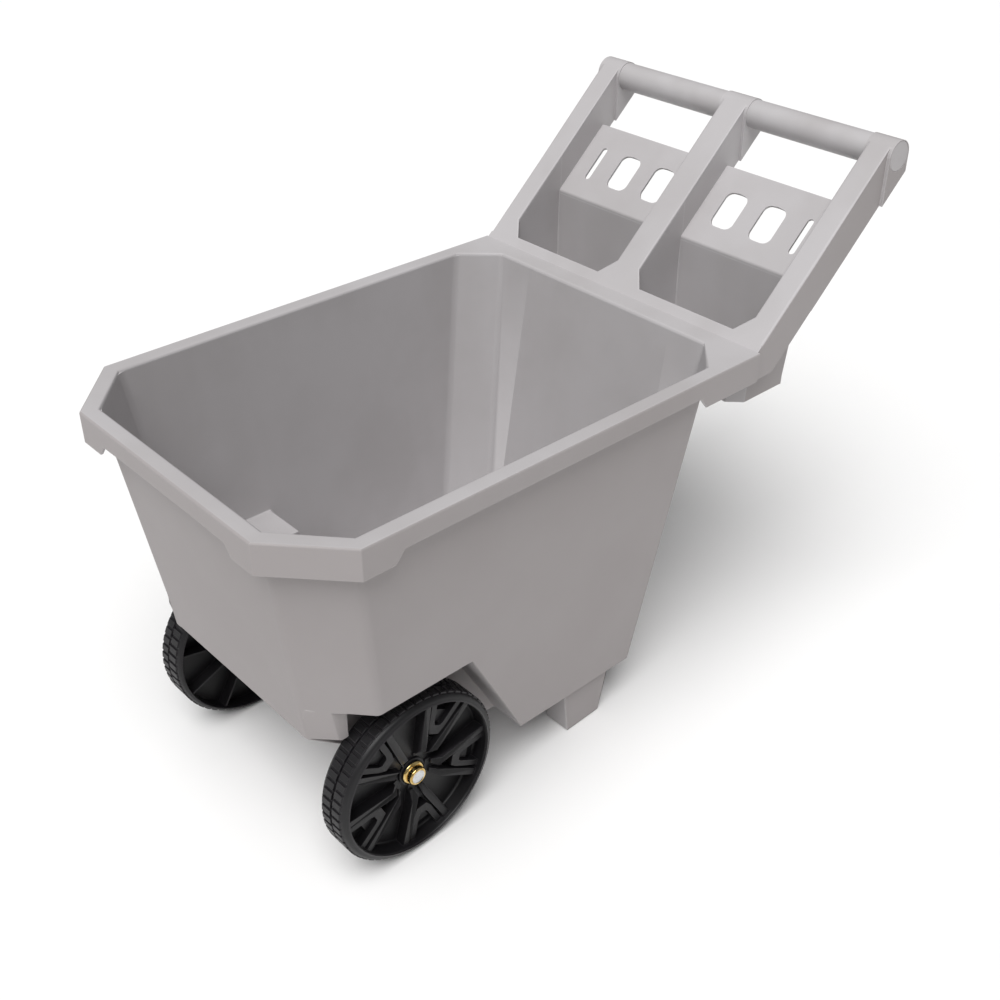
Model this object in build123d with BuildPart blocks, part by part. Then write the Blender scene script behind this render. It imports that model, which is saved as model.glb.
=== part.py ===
from build123d import *
import os
from math import cos, radians, sin, tan

os.makedirs("parts", exist_ok=True)

# Garden cart: a moulded plastic tub with a rolled rim, two deep tool pockets and a
# three-armed handle frame, a grip tube across the arms, and two wheels on a steel axle.
# Frame: +Z up, X across the cart, +Y from the wheels towards the grip, and the origin on
# the ground below the centre of the cart. The moulding is drawn level in its own frame,
# whose origin is the middle of the axle, and it stands on wheels and feet a little nose-up.

# ---- driving dimensions, millimetres ----
WHEEL_R = 117.0
WHEEL_WIDTH = 47.4
TRACK_OUTER = 404.8            # across the outer faces of the wheels
AXLE_Y = -326.0                # axle, from the middle of the cart's length
TILT = 2.95                    # degrees that the moulding leans back on its feet

WALL = 3.5                     # moulded wall
RIM_Z = 413.5                  # top of the rim above the axle
RIM_FRONT = -173.3             # front edge of the rim, ahead of the axle
RIM_HALF = 251.9               # half width over the rim
RIM_FRONT_HALF = 170.6         # half length of the straight front edge
RIM_CHAMFER = 74.0             # length of the corner chamfer along the side
MOUTH_FRONT = -152.0
MOUTH_HALF = 230.8
MOUTH_FRONT_HALF = 160.6
MOUTH_CHAMFER_FRONT = -90.0
MOUTH_REAR = 483.2
MOUTH_REAR_HALF = 185.2
MOUTH_CHAMFER_REAR = 433.9
SKIRT_DEEP = 40.0              # depth of the rim's skirt at the corners
SKIRT_SHALLOW = 25.0           # and along the hand recesses
FRONT_RECESS_HALF = 122.0      # half length of the front hand recess, at its top
SIDE_RECESS_FRONT = -46.0      # ends of the side hand recesses, at their top
SIDE_RECESS_REAR = 404.0
RECESS_SLOPE = 16.0            # length of each recess's sloping end

DRAFT_SIDE = 0.088             # sideways slope of the tub's side walls
DRAFT_FRONT = 0.128
DRAFT_REAR = 0.155
TUB_DEPTH = 441.0              # rim to the underside of the tub
NOSE_DEPTH = 316.0             # rim to the lower edge of the front wall
NOSE_HALF = 144.0              # half width between the wheel wells
NOSE_SLOPE = 1.25              # run back per rise, from the front wall to the channel
CHANNEL_Z = 26.0               # underside of the nose above the axle
CHANNEL_REAR = 58.0            # where the channel turns down to the underside
CHANNEL_SLOPE = 0.7
RIB_FOOT = -19.0               # lower edge of the axle ribs
CORNER_HALF = 170.0            # half width of the recesses under the front corners
CORNER_SLOPE = 0.68            # run back per step outwards, along the nose's sides
RIB_OUTER = 140.0              # outer faces of the outer axle ribs
RIB_INNER = 60.0               # inner faces of the inner axle ribs
RIB_WIDTH = 8.0
WHEEL_CLEARANCE = 8.0          # between a wheel and its well
WELL_DEPTH = 268.0             # rim to the roof of the wheel wells
WELL_FRONT = -76.0             # front wall of the wheel wells, from the axle
WELL_REAR_TOP = 75.0           # where the well's sloping rear wall leaves its roof
WELL_REAR_FOOT = 170.0         # and where it meets the underside

FOLD_Y = 512.0                 # line where the deck turns up into the arms
ARM_RISE = 42.3                # degrees that the arms climb from the deck
ARM_HALF = 248.0               # half width over the outer arms
ARM_INNER = 216.0              # inner face of an outer arm
ARM_MIDDLE = (ARM_HALF + ARM_INNER) / 2
SPINE_HALF = 20.0              # half width of the middle arm
ARM_DEPTH = 52.0
ARM_RIBS = (560, 610, 660, 700)
RIB_THICKNESS = 2.5
RIB_LENGTHS = ((-ARM_MIDDLE, 28.0), (0.0, 34.0), (ARM_MIDDLE, 28.0))
BAY_FRONT = 524.0              # front edge of the bays, measured level
BAY_CHAMFER = 19.0
POCKET_REAR = 623.5            # inner face of the pockets' back wall
POCKET_FLOOR = 98.0            # rim to the underside of the pockets
POCKET_WALL = 3.0
POCKET_TAPER = 6.0             # how much narrower a pocket is at its floor, each side
PANEL_DROP = 37.0              # the tray panels lie this far below the arms' top
PANEL_END = 711.4              # upper edge of the tray panels, from the axle
PANEL_THICKNESS = 3.5
SLOT_LENGTH = 54.0
SLOT_MIDDLE = 174.0            # slot centres, up the slope from the fold
SLOTS = ((65.0, 36.0, 11.0), (129.0, 36.0, 11.0), (184.0, 9.5, 4.7))

FOOT_OUTER = 186.0
FOOT_WIDTH = 52.0
FOOT_FRONT = 260.0             # where each foot meets the ground, behind the axle
FOOT_LENGTH = 58.0
FOOT_SLOPE_HEIGHT = 68.0       # height of the sloping part of a foot's rear face
FOOT_SLOPE = 20.0              # how far it leans back over that height
FOOT_CHAMFER = 12.0

GRIP_Y = 755.0                 # axis of the grip tube, from the axle
GRIP_Z = 606.76
GRIP_R = 19.3
GRIP_BORE_R = 16.8
PLUG_FLANGE = 2.0              # visible thickness of the plugs in the tube's ends
PLUG_DEPTH = 16.0
SLEEVE_R = 20.7
SLEEVE_HALF = 252.6
SLEEVE_WIDTH = 40.6            # along the grip, of an outer sleeve
SPINE_SLEEVE = 48.0            # and of the middle one

SCREW_XS = (-232.0, 0.0, 232.0)
SCREW_R = 2.0
SCREW_HEAD_R = 4.0
SCREW_HEAD_HEIGHT = 2.4
SCREW_RECESS_R = 5.0           # counterbore that the screw's head sits in
SCREW_SEAT = GRIP_Z - SLEEVE_R - 2.0
SCREW_LENGTH = 10.0

AXLE_R = 6.0
AXLE_PLAY = 0.05               # radial play of the axle in the moulding and the wheels
AXLE_HALF = 193.0
BUSH_R = 8.5
HUB_R = 19.0
HUB_INNER = 152.1              # inner end of the hub, from the cart's centre plane
HUB_OUTER = 184.0
RING_R = 105.0                 # inner edge of the wheel's rim band
RING_THICKNESS = 7.5
WEB_OUTER = 180.0              # outer face of the disc between hub and rim band
SPOKE_HEIGHT = 14.0            # how far the spokes stand out of the disc
SPOKE_GROUPS = 5
SPOKE_PHASE = -87.0            # direction of one spoke group, from the rear, upwards

# ---- frames of the moulding ----
BODY = Plane(
    origin=(0, AXLE_Y, WHEEL_R),
    x_dir=(1, 0, 0),
    z_dir=(0, sin(radians(TILT)), cos(radians(TILT))),
)
ARM = Plane(
    origin=BODY.from_local_coords((0, FOLD_Y, RIM_Z)),
    x_dir=(1, 0, 0),
    z_dir=(0, -sin(radians(ARM_RISE - TILT)), cos(radians(ARM_RISE - TILT))),
)


def level(height):
    """Horizontal plane of the moulding, at a height above the axle."""
    return BODY.offset(height)


def slice_at(x):
    """Upright lengthwise plane of the moulding: its x runs back and its y runs up."""
    origin = BODY.from_local_coords((x, 0, 0))
    return Plane(origin=origin, x_dir=BODY.y_dir, z_dir=(1, 0, 0))


def cart_slice(x):
    """The same plane, but level with the ground."""
    return Plane(origin=(x, AXLE_Y, WHEEL_R), x_dir=(0, 1, 0), z_dir=(1, 0, 0))


def mirrored(points):
    """Close a half outline, given from the front centre line round to the rear."""
    return points + [(-x, y) for x, y in reversed(points)]


def tub_outline(depth):
    """Half outline of the tub's outside at a depth below the rim."""
    front = MOUTH_FRONT - WALL + DRAFT_FRONT * depth
    rear = MOUTH_REAR + WALL - DRAFT_REAR * depth
    half = MOUTH_HALF + WALL - DRAFT_SIDE * depth
    front_cut_x = MOUTH_HALF - MOUTH_FRONT_HALF - 0.01 * depth
    front_cut_y = MOUTH_CHAMFER_FRONT - MOUTH_FRONT - 0.00882 * depth
    rear_cut_x = MOUTH_HALF - MOUTH_REAR_HALF
    rear_cut_y = MOUTH_REAR - MOUTH_CHAMFER_REAR
    return [
        (half - front_cut_x, front),
        (half, front + front_cut_y),
        (half, rear - rear_cut_y),
        (half - rear_cut_x, rear),
    ]


# ---- wheel wells: what the wheels need cut out of the tub ----
def well_profile(gap):
    """Side view of a wheel well, grown by a gap on every wall."""
    roof = RIM_Z - WELL_DEPTH + gap
    floor = RIM_Z - TUB_DEPTH - 60
    slope = (WELL_DEPTH - TUB_DEPTH) / (WELL_REAR_FOOT - WELL_REAR_TOP)
    foot_y = WELL_REAR_TOP + (floor - RIM_Z + WELL_DEPTH) / slope
    shift = gap * (1 + slope**2) ** 0.5 / -slope + gap / -slope
    nose_edge = RIM_Z - NOSE_DEPTH + gap
    return [
        (-200, floor),
        (-200, nose_edge),
        (WELL_FRONT - gap, nose_edge),
        (WELL_FRONT - gap, roof),
        (WELL_REAR_TOP + shift - 2 * gap / -slope, roof),
        (foot_y + shift - 2 * gap / -slope, floor),
    ]


def nose_profile(gap):
    """Side view of what lies under the nose: a slope, then the axle's channel."""
    edge = RIM_Z - NOSE_DEPTH
    front = MOUTH_FRONT - WALL + DRAFT_FRONT * NOSE_DEPTH
    bottom = RIM_Z - TUB_DEPTH
    channel_foot = CHANNEL_REAR + (CHANNEL_Z - bottom) * CHANNEL_SLOPE
    return [
        (front - 60, edge + gap),
        (front + gap * 0.5, edge + gap),
        (front + (edge - CHANNEL_Z) * NOSE_SLOPE + gap * 0.5, CHANNEL_Z + gap),
        (CHANNEL_REAR + gap, CHANNEL_Z + gap),
        (channel_foot + gap, bottom),
        (channel_foot + gap, bottom - 60),
        (front - 60, bottom - 60),
    ]


def corner_recess(gap):
    """Plan of the recess under a front corner, between the chamfer and the nose."""
    front = MOUTH_FRONT - WALL + DRAFT_FRONT * WELL_DEPTH
    start = tub_outline(WELL_DEPTH)[0][0]
    return [
        (start - gap, front - 40),
        (start - gap, front + 3 + gap),
        (CORNER_HALF - gap, front + 3 + (CORNER_HALF - start) * CORNER_SLOPE + gap),
        (CORNER_HALF - gap, WELL_FRONT + 6),
        (300, WELL_FRONT + 6),
        (300, front - 40),
    ]


def underside(gap):
    """Everything cut away from under the tub: wells, corner recesses and nose."""
    with BuildPart() as cutter:
        with BuildSketch(slice_at(NOSE_HALF - gap)):
            Polygon(*well_profile(gap), align=None)
        extrude(amount=200)
        mirror(about=Plane.YZ)
        with BuildSketch(slice_at(NOSE_HALF - gap)):
            Circle(WHEEL_R + WHEEL_CLEARANCE + gap)
        extrude(amount=200)
        with BuildSketch(slice_at(gap - NOSE_HALF)):
            Circle(WHEEL_R + WHEEL_CLEARANCE + gap)
        extrude(amount=-200)
        with BuildSketch(level(RIM_Z - WELL_DEPTH + gap)):
            Polygon(*corner_recess(gap), align=None)
            mirror(about=Plane.YZ)
        extrude(amount=-300)
        with BuildSketch(slice_at(-300)):
            Polygon(*nose_profile(gap), align=None)
        extrude(amount=600)
    return cutter.part


# ---- tub ----
TUB_TOP = RIM_Z - WALL
TUB_BOTTOM = RIM_Z - TUB_DEPTH

with BuildPart() as cavity:
    with BuildSketch(level(RIM_Z + 10)):
        Polygon(*mirrored(tub_outline(-10)), align=None)
        offset(amount=-WALL, kind=Kind.INTERSECTION)
    with BuildSketch(level(TUB_BOTTOM + WALL)):
        Polygon(*mirrored(tub_outline(TUB_DEPTH - WALL)), align=None)
        offset(amount=-WALL, kind=Kind.INTERSECTION)
    loft(ruled=True)
    add(underside(WALL), mode=Mode.SUBTRACT)

with BuildPart() as tub:
    with BuildSketch(level(TUB_TOP)):
        Polygon(*mirrored(tub_outline(WALL)), align=None)
    with BuildSketch(level(TUB_BOTTOM)):
        Polygon(*mirrored(tub_outline(TUB_DEPTH)), align=None)
    loft(ruled=True)
    add(underside(0), mode=Mode.SUBTRACT)
    add(cavity.part, mode=Mode.SUBTRACT)
    # two pairs of moulded ribs carry the axle under the nose
    for rib_x in (-RIB_OUTER, -RIB_INNER - RIB_WIDTH, RIB_INNER, RIB_OUTER - RIB_WIDTH):
        with BuildSketch(slice_at(rib_x)):
            Polygon(
                (-44, CHANNEL_Z + 1),
                (-17, RIB_FOOT),
                (17, RIB_FOOT),
                (40, -8),
                (52, CHANNEL_Z + 1),
                align=None,
            )
            Circle(AXLE_R + AXLE_PLAY, mode=Mode.SUBTRACT)
        extrude(amount=RIB_WIDTH)
tub.part.label = "tub"
export_step(tub.part, "parts/tub.step")


# ---- rim frame: rolled rim, rear deck, three arms and the sleeves that hold the grip ----
RIM_CORNER_Y = RIM_FRONT + RIM_CHAMFER
DECK_END = FOLD_Y + 12
rim_half_outline = [
    (RIM_FRONT_HALF, RIM_FRONT),
    (RIM_HALF, RIM_CORNER_Y),
    (RIM_HALF, FOLD_Y),
]
rise = radians(ARM_RISE)
sleeve_front = GRIP_Y - SLEEVE_R
plate_end = GRIP_Y - SLEEVE_R * sin(rise)      # where the plate runs onto the sleeves
sleeve_rear = GRIP_Y + SLEEVE_R


def arm_line_z(y, drop):
    """Height above the axle of a line that runs below the arms' top at a depth."""
    return RIM_Z + (y - FOLD_Y) * tan(rise) - drop / cos(rise)


def arm_profile(drop_from, drop_to, start_y, end_y):
    """Side view of a strip along the arms, between two depths below their top."""
    return [
        (start_y, arm_line_z(start_y, drop_from)),
        (end_y, arm_line_z(end_y, drop_from)),
        (end_y, arm_line_z(end_y, drop_to)),
        (start_y, arm_line_z(start_y, drop_to)),
    ]


def bay_outline(side):
    """Plan of one bay between the arms: chamfered at its front corners."""
    inner = SPINE_HALF * side
    outer = ARM_INNER * side
    cut = BAY_CHAMFER * side
    return [
        (inner + cut, BAY_FRONT),
        (outer - cut, BAY_FRONT),
        (outer, BAY_FRONT + BAY_CHAMFER),
        (outer, GRIP_Y + 60),
        (inner, GRIP_Y + 60),
        (inner, BAY_FRONT + BAY_CHAMFER),
    ]


with BuildPart() as bays:
    for side in (-1, 1):
        with BuildSketch(level(-100)):
            Polygon(*bay_outline(side), align=None)
        extrude(amount=900)


def screw_plane(x):
    """Seat of a grip screw, under a sleeve, looking up its axis."""
    origin = BODY.from_local_coords((x, GRIP_Y, SCREW_SEAT))
    return Plane(origin=origin, x_dir=(1, 0, 0), z_dir=BODY.z_dir)


def pocket_outline(side, grow):
    """Plan of a tool pocket's walls, grown outwards from the bay."""
    inner = SPINE_HALF * side - grow * side
    outer = ARM_INNER * side + grow * side
    cut = BAY_CHAMFER + grow * 0.41
    front = BAY_FRONT - grow
    return [
        (inner + cut * side, front),
        (outer - cut * side, front),
        (outer, front + cut),
        (outer, POCKET_REAR + grow),
        (inner, POCKET_REAR + grow),
        (inner, front + cut),
    ]


# the pockets' outside, which the frame's ribs leave room for
with BuildPart() as pocket_space:
    for side in (-1, 1):
        with BuildSketch(level(0)):
            Polygon(*pocket_outline(side, POCKET_WALL), align=None)
        extrude(amount=700)
    with BuildSketch(slice_at(-300)):
        Polygon(*arm_profile(WALL, -400, FOLD_Y - 200, GRIP_Y + 200), align=None)
    extrude(amount=600, mode=Mode.SUBTRACT)

with BuildPart() as rim_frame:
    # flange and deck
    with BuildSketch(level(RIM_Z - WALL)):
        Polygon(*mirrored(rim_half_outline), align=None)
    extrude(amount=WALL)
    add(cavity.part, mode=Mode.SUBTRACT)
    # skirt
    with BuildSketch(level(RIM_Z - WALL)):
        Polygon(*mirrored(rim_half_outline), align=None)
        offset(amount=-WALL, kind=Kind.INTERSECTION, mode=Mode.SUBTRACT)
    extrude(amount=-(SKIRT_DEEP - WALL))
    # the skirt stops at the arms
    with BuildSketch(level(RIM_Z - WALL)):
        with Locations((0, FOLD_Y)):
            Rectangle(2 * RIM_HALF - 2 * WALL, 4 * WALL)
    extrude(amount=-SKIRT_DEEP, mode=Mode.SUBTRACT)
    # sloping plate of the three arms
    with BuildSketch(slice_at(-ARM_HALF)):
        Polygon(*arm_profile(0, WALL, FOLD_Y, plate_end), align=None)
    extrude(amount=2 * ARM_HALF)
    # side walls of the arms
    for wall_x in (ARM_HALF - WALL, ARM_INNER, SPINE_HALF - WALL, -SPINE_HALF, -ARM_INNER - WALL, -ARM_HALF):
        with BuildSketch(slice_at(wall_x)):
            with BuildLine():
                Polyline(
                    (FOLD_Y - 4, RIM_Z - SKIRT_DEEP),
                    (FOLD_Y + 34, RIM_Z - SKIRT_DEEP),
                    (sleeve_rear, arm_line_z(sleeve_rear, ARM_DEPTH)),
                    (sleeve_rear, GRIP_Z),
                    (plate_end, arm_line_z(plate_end, WALL / 2)),
                    (FOLD_Y, arm_line_z(FOLD_Y, WALL / 2)),
                    (FOLD_Y - 4, RIM_Z - WALL / 2),
                    close=True,
                )
            make_face()
        extrude(amount=WALL)
    # cross ribs inside the arms' channels
    for rib_y in ARM_RIBS:
        for centre, width in RIB_LENGTHS:
            with BuildSketch(slice_at(centre - width / 2)):
                Polygon(
                    *arm_profile(WALL / 2, ARM_DEPTH - 8, rib_y, rib_y + RIB_THICKNESS), align=None
                )
            extrude(amount=width)
    add(bays.part, mode=Mode.SUBTRACT)
    add(pocket_space.part, mode=Mode.SUBTRACT)
    # sleeves with their webs
    for start, width in (
        (-SLEEVE_HALF, SLEEVE_WIDTH),
        (-SPINE_SLEEVE / 2, SPINE_SLEEVE),
        (SLEEVE_HALF - SLEEVE_WIDTH, SLEEVE_WIDTH),
    ):
        with BuildSketch(slice_at(start)):
            with Locations((GRIP_Y, GRIP_Z)):
                Circle(SLEEVE_R)
            Polygon(
                (sleeve_front, GRIP_Z),
                (sleeve_rear, GRIP_Z),
                (sleeve_rear, arm_line_z(sleeve_rear, ARM_DEPTH)),
                (sleeve_front, arm_line_z(sleeve_front, ARM_DEPTH)),
                align=None,
            )
        extrude(amount=width)
    with BuildSketch(slice_at(-300)):
        with Locations((GRIP_Y, GRIP_Z)):
            Circle(GRIP_R)
    extrude(amount=600, mode=Mode.SUBTRACT)
    # screw holes, counterbored from below
    for screw_x in SCREW_XS:
        with BuildSketch(screw_plane(screw_x)):
            Circle(SCREW_RECESS_R)
        extrude(amount=-60, mode=Mode.SUBTRACT)
        with BuildSketch(screw_plane(screw_x)):
            Circle(SCREW_R)
        extrude(amount=SCREW_LENGTH, mode=Mode.SUBTRACT)
    # hand recesses in the skirt
    recess_z = RIM_Z - SKIRT_SHALLOW
    foot_z = RIM_Z - SKIRT_DEEP - 5
    front_origin = BODY.from_local_coords((0, RIM_FRONT, 0))
    with BuildSketch(Plane(origin=front_origin, x_dir=(1, 0, 0), z_dir=-BODY.y_dir)):
        Polygon(
            (-FRONT_RECESS_HALF - RECESS_SLOPE, foot_z),
            (-FRONT_RECESS_HALF, recess_z),
            (FRONT_RECESS_HALF, recess_z),
            (FRONT_RECESS_HALF + RECESS_SLOPE, foot_z),
            align=None,
        )
    extrude(amount=-WALL * 2, both=True, mode=Mode.SUBTRACT)
    for x in (-RIM_HALF, RIM_HALF):
        with BuildSketch(slice_at(x)):
            Polygon(
                (SIDE_RECESS_FRONT - RECESS_SLOPE, foot_z),
                (SIDE_RECESS_FRONT, recess_z),
                (SIDE_RECESS_REAR, recess_z),
                (SIDE_RECESS_REAR + RECESS_SLOPE, foot_z),
                align=None,
            )
        extrude(amount=WALL * 2, both=True, mode=Mode.SUBTRACT)
rim_frame.part.label = "rim_frame"
export_step(rim_frame.part, "parts/rim_frame.step")


# ---- tool pockets: open-topped bins under the bays ----
pocket_floor = RIM_Z - POCKET_FLOOR
for side, name in ((-1, "left"), (1, "right")):
    with BuildPart() as bin_space:
        with BuildSketch(level(pocket_floor + POCKET_WALL)):
            Polygon(*pocket_outline(side, -POCKET_TAPER), align=None)
        with BuildSketch(level(RIM_Z)):
            Polygon(*pocket_outline(side, 0), align=None)
        loft(ruled=True)
        with BuildSketch(level(RIM_Z)):
            Polygon(*pocket_outline(side, 0), align=None)
        extrude(amount=200)
    with BuildPart() as tool_pocket:
        with BuildSketch(level(pocket_floor)):
            Polygon(*pocket_outline(side, POCKET_WALL - POCKET_TAPER), align=None)
        with BuildSketch(level(RIM_Z)):
            Polygon(*pocket_outline(side, POCKET_WALL), align=None)
        loft(ruled=True)
        with BuildSketch(level(RIM_Z)):
            Polygon(*pocket_outline(side, POCKET_WALL), align=None)
        extrude(amount=200)
        # the bin is trimmed along the underside of the arms' sloping plate
        with BuildSketch(slice_at(-300)):
            Polygon(*arm_profile(-400, WALL, FOLD_Y - 200, GRIP_Y + 200), align=None)
        extrude(amount=600, mode=Mode.SUBTRACT)
        # and its back wall along the tray panel
        with BuildSketch(slice_at(min(SPINE_HALF * side, ARM_INNER * side))):
            Polygon(
                *arm_profile(-10, PANEL_DROP + PANEL_THICKNESS, POCKET_REAR, POCKET_REAR + 60), align=None
            )
        extrude(amount=ARM_INNER - SPINE_HALF, mode=Mode.SUBTRACT)
        add(bin_space.part, mode=Mode.SUBTRACT)
    tool_pocket.part.label = "tool_pocket_" + name
    export_step(tool_pocket.part, "parts/tool_pocket_" + name + ".step")

# ---- tray panels: sloping slotted plates above the pockets' back walls ----
for side, name in ((-1, "left"), (1, "right")):
    with BuildPart() as tray_panel:
        with BuildSketch(slice_at(min(SPINE_HALF * side, ARM_INNER * side))):
            Polygon(
                *arm_profile(PANEL_DROP, PANEL_DROP + PANEL_THICKNESS, POCKET_REAR, PANEL_END), align=None
            )
        extrude(amount=ARM_INNER - SPINE_HALF)
        with BuildSketch(ARM.offset(-PANEL_DROP)):
            for slot_x, slot_width, corner in SLOTS:
                with Locations((slot_x * side, SLOT_MIDDLE)):
                    RectangleRounded(slot_width, SLOT_LENGTH, corner)
        extrude(amount=2 * PANEL_THICKNESS, both=True, mode=Mode.SUBTRACT)
    tray_panel.part.label = "tray_panel_" + name
    export_step(tray_panel.part, "parts/tray_panel_" + name + ".step")

# ---- feet: two hollow legs under the rear of the tub ----
for side, name in ((-1, "left"), (1, "right")):
    foot_middle = (FOOT_OUTER - FOOT_WIDTH / 2) * side
    with BuildPart() as foot:
        with BuildSketch(cart_slice(foot_middle - FOOT_WIDTH / 2)):
            Polygon(
                (FOOT_FRONT, -WHEEL_R),
                (FOOT_FRONT + FOOT_LENGTH, -WHEEL_R),
                (FOOT_FRONT + FOOT_LENGTH + FOOT_SLOPE, FOOT_SLOPE_HEIGHT - WHEEL_R),
                (FOOT_FRONT + FOOT_LENGTH + FOOT_SLOPE, 0),
                (FOOT_FRONT - 8, 0),
                align=None,
            )
        extrude(amount=FOOT_WIDTH)
        chamfer(foot.edges().filter_by(Axis.Z, 10).sort_by(Axis.Y)[:2], FOOT_CHAMFER)
        fillet(foot.faces().sort_by(Axis.Z)[0].edges(), 3)
        with BuildSketch(slice_at(-300)):
            Polygon((0, TUB_BOTTOM), (600, TUB_BOTTOM), (600, 100), (0, 100), align=None)
        extrude(amount=600, mode=Mode.SUBTRACT)
        offset(amount=-WALL, openings=foot.faces().sort_by(Axis.Z)[-1], mode=Mode.REPLACE)
    foot.part.label = "foot_" + name
    export_step(foot.part, "parts/foot_" + name + ".step")

# ---- grip: tube through the three sleeves, with a plug in each end ----
with BuildPart() as grip_tube:
    with BuildSketch(slice_at(-SLEEVE_HALF + PLUG_FLANGE)):
        with Locations((GRIP_Y, GRIP_Z)):
            Circle(GRIP_R)
            Circle(GRIP_BORE_R, mode=Mode.SUBTRACT)
    extrude(amount=2 * (SLEEVE_HALF - PLUG_FLANGE))
    for screw_x in SCREW_XS:
        with BuildSketch(screw_plane(screw_x)):
            Circle(SCREW_R)
        extrude(amount=SCREW_LENGTH, mode=Mode.SUBTRACT)
grip_tube.part.label = "grip_tube"
export_step(grip_tube.part, "parts/grip_tube.step")

for side, name in ((-1, "left"), (1, "right")):
    with BuildPart() as grip_plug:
        with BuildSketch(slice_at(side * (SLEEVE_HALF - PLUG_FLANGE))):
            with Locations((GRIP_Y, GRIP_Z)):
                Circle(GRIP_R)
        extrude(amount=side * PLUG_FLANGE)
        fillet(grip_plug.faces().sort_by(Axis.X)[-1 if side > 0 else 0].edges(), 1.2)
        with BuildSketch(slice_at(side * (SLEEVE_HALF - PLUG_FLANGE))):
            with Locations((GRIP_Y, GRIP_Z)):
                Circle(GRIP_BORE_R - 0.1)
                Circle(GRIP_BORE_R - 2.5, mode=Mode.SUBTRACT)
        extrude(amount=-side * PLUG_DEPTH)
    grip_plug.part.label = "grip_plug_" + name
    export_step(grip_plug.part, "parts/grip_plug_" + name + ".step")

# ---- axle ----
with BuildPart() as axle:
    with BuildSketch(cart_slice(-AXLE_HALF)):
        Circle(AXLE_R)
    extrude(amount=2 * AXLE_HALF)
    chamfer(axle.edges().group_by(Axis.X)[0] + axle.edges().group_by(Axis.X)[-1], 1)
axle.part.label = "axle"
export_step(axle.part, "parts/axle.step")


# ---- wheels: one moulding each, with forked spokes on the disc and a hub on the axle ----
AXLE_LINE = Axis((0, AXLE_Y, WHEEL_R), (1, 0, 0))
SECTION = Plane(origin=(0, AXLE_Y, WHEEL_R), x_dir=(1, 0, 0), z_dir=(0, -1, 0))
wheel_outer = TRACK_OUTER / 2
wheel_inner = wheel_outer - WHEEL_WIDTH
wheel_middle = wheel_outer - WHEEL_WIDTH / 2
WEB_THICKNESS = 4.0
SHOULDER = 6.0
GROOVE = 1.5


def wheel_section(side):
    """Half section of the wheel, above the axle: band, disc and hub in one outline."""
    band_inside = WHEEL_R - RING_THICKNESS
    points = [
        (HUB_INNER, BUSH_R),
        (HUB_OUTER, BUSH_R),
        (HUB_OUTER, HUB_R),
        (WEB_OUTER, HUB_R + 1),
        (WEB_OUTER, RING_R),
        (wheel_outer - 2, RING_R),
        (wheel_outer, RING_R + 2),
        (wheel_outer, WHEEL_R - SHOULDER),
        (wheel_outer - SHOULDER, WHEEL_R),
        (wheel_middle + GROOVE, WHEEL_R),
        (wheel_middle + GROOVE, WHEEL_R - GROOVE),
        (wheel_middle - GROOVE, WHEEL_R - GROOVE),
        (wheel_middle - GROOVE, WHEEL_R),
        (wheel_inner + SHOULDER, WHEEL_R),
        (wheel_inner, WHEEL_R - SHOULDER),
        (wheel_inner, band_inside),
        (WEB_OUTER - WEB_THICKNESS, band_inside),
        (WEB_OUTER - WEB_THICKNESS, HUB_R),
        (HUB_INNER, HUB_R),
    ]
    return [(x * side, r) for x, r in points]


# one spoke group, drawn along its own axis: two forked ribs and a chevron between them
fork_rib = [(14, 3), (38, 11), (106, 34), (106, 27), (40, 4.5), (14, -3)]
chevron_rib = [(62, 0), (72, 11), (106, 21), (106, 15), (76, 5.5), (70, 0)]

for side, name in ((-1, "left"), (1, "right")):
    face_plane = Plane(
        origin=(side * WEB_OUTER, AXLE_Y, WHEEL_R), x_dir=(0, 1, 0), z_dir=(1, 0, 0)
    )
    with BuildPart() as wheel:
        with BuildSketch(SECTION):
            Polygon(*wheel_section(side), align=None)
        revolve(axis=AXLE_LINE)
        with BuildSketch(face_plane):
            with PolarLocations(0, SPOKE_GROUPS, start_angle=SPOKE_PHASE):
                for outline in (fork_rib, chevron_rib):
                    Polygon(*outline, align=None)
                    Polygon(*[(r, -offset_y) for r, offset_y in outline], align=None)
            Circle(HUB_R - 1, mode=Mode.SUBTRACT)
        extrude(amount=side * SPOKE_HEIGHT)
        # ribs on the inner side of the disc
        with BuildSketch(face_plane.offset(-side * WEB_THICKNESS)):
            with PolarLocations((HUB_R + WHEEL_R - RING_THICKNESS) / 2, 10, start_angle=SPOKE_PHASE):
                Rectangle(WHEEL_R - RING_THICKNESS - HUB_R + 2, 3)
        extrude(amount=-side * 24)
    wheel.part.label = "wheel_" + name
    export_step(wheel.part, "parts/wheel_" + name + ".step")

# ---- hub bushes, spacers, washers and push-on caps ----
SPACER_END = HUB_INNER - 2.4
small_rings = {
    "hub_bush": (HUB_INNER, HUB_OUTER, AXLE_R + AXLE_PLAY, BUSH_R),
    "axle_spacer": (RIB_OUTER, SPACER_END, AXLE_R + 0.3, 10.0),
    "inner_washer": (SPACER_END, SPACER_END + 2, AXLE_R + 0.2, 14.0),
    "outer_washer": (HUB_OUTER + 0.3, HUB_OUTER + 1.8, AXLE_R + 0.2, 14.0),
}
for ring_name, (start, end, inner_r, outer_r) in small_rings.items():
    for side, name in ((-1, "left"), (1, "right")):
        with BuildPart() as ring:
            with BuildSketch(cart_slice(side * start)):
                Circle(outer_r)
                Circle(inner_r, mode=Mode.SUBTRACT)
            extrude(amount=side * (end - start))
        ring.part.label = ring_name + "_" + name
        export_step(ring.part, "parts/" + ring_name + "_" + name + ".step")

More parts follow.
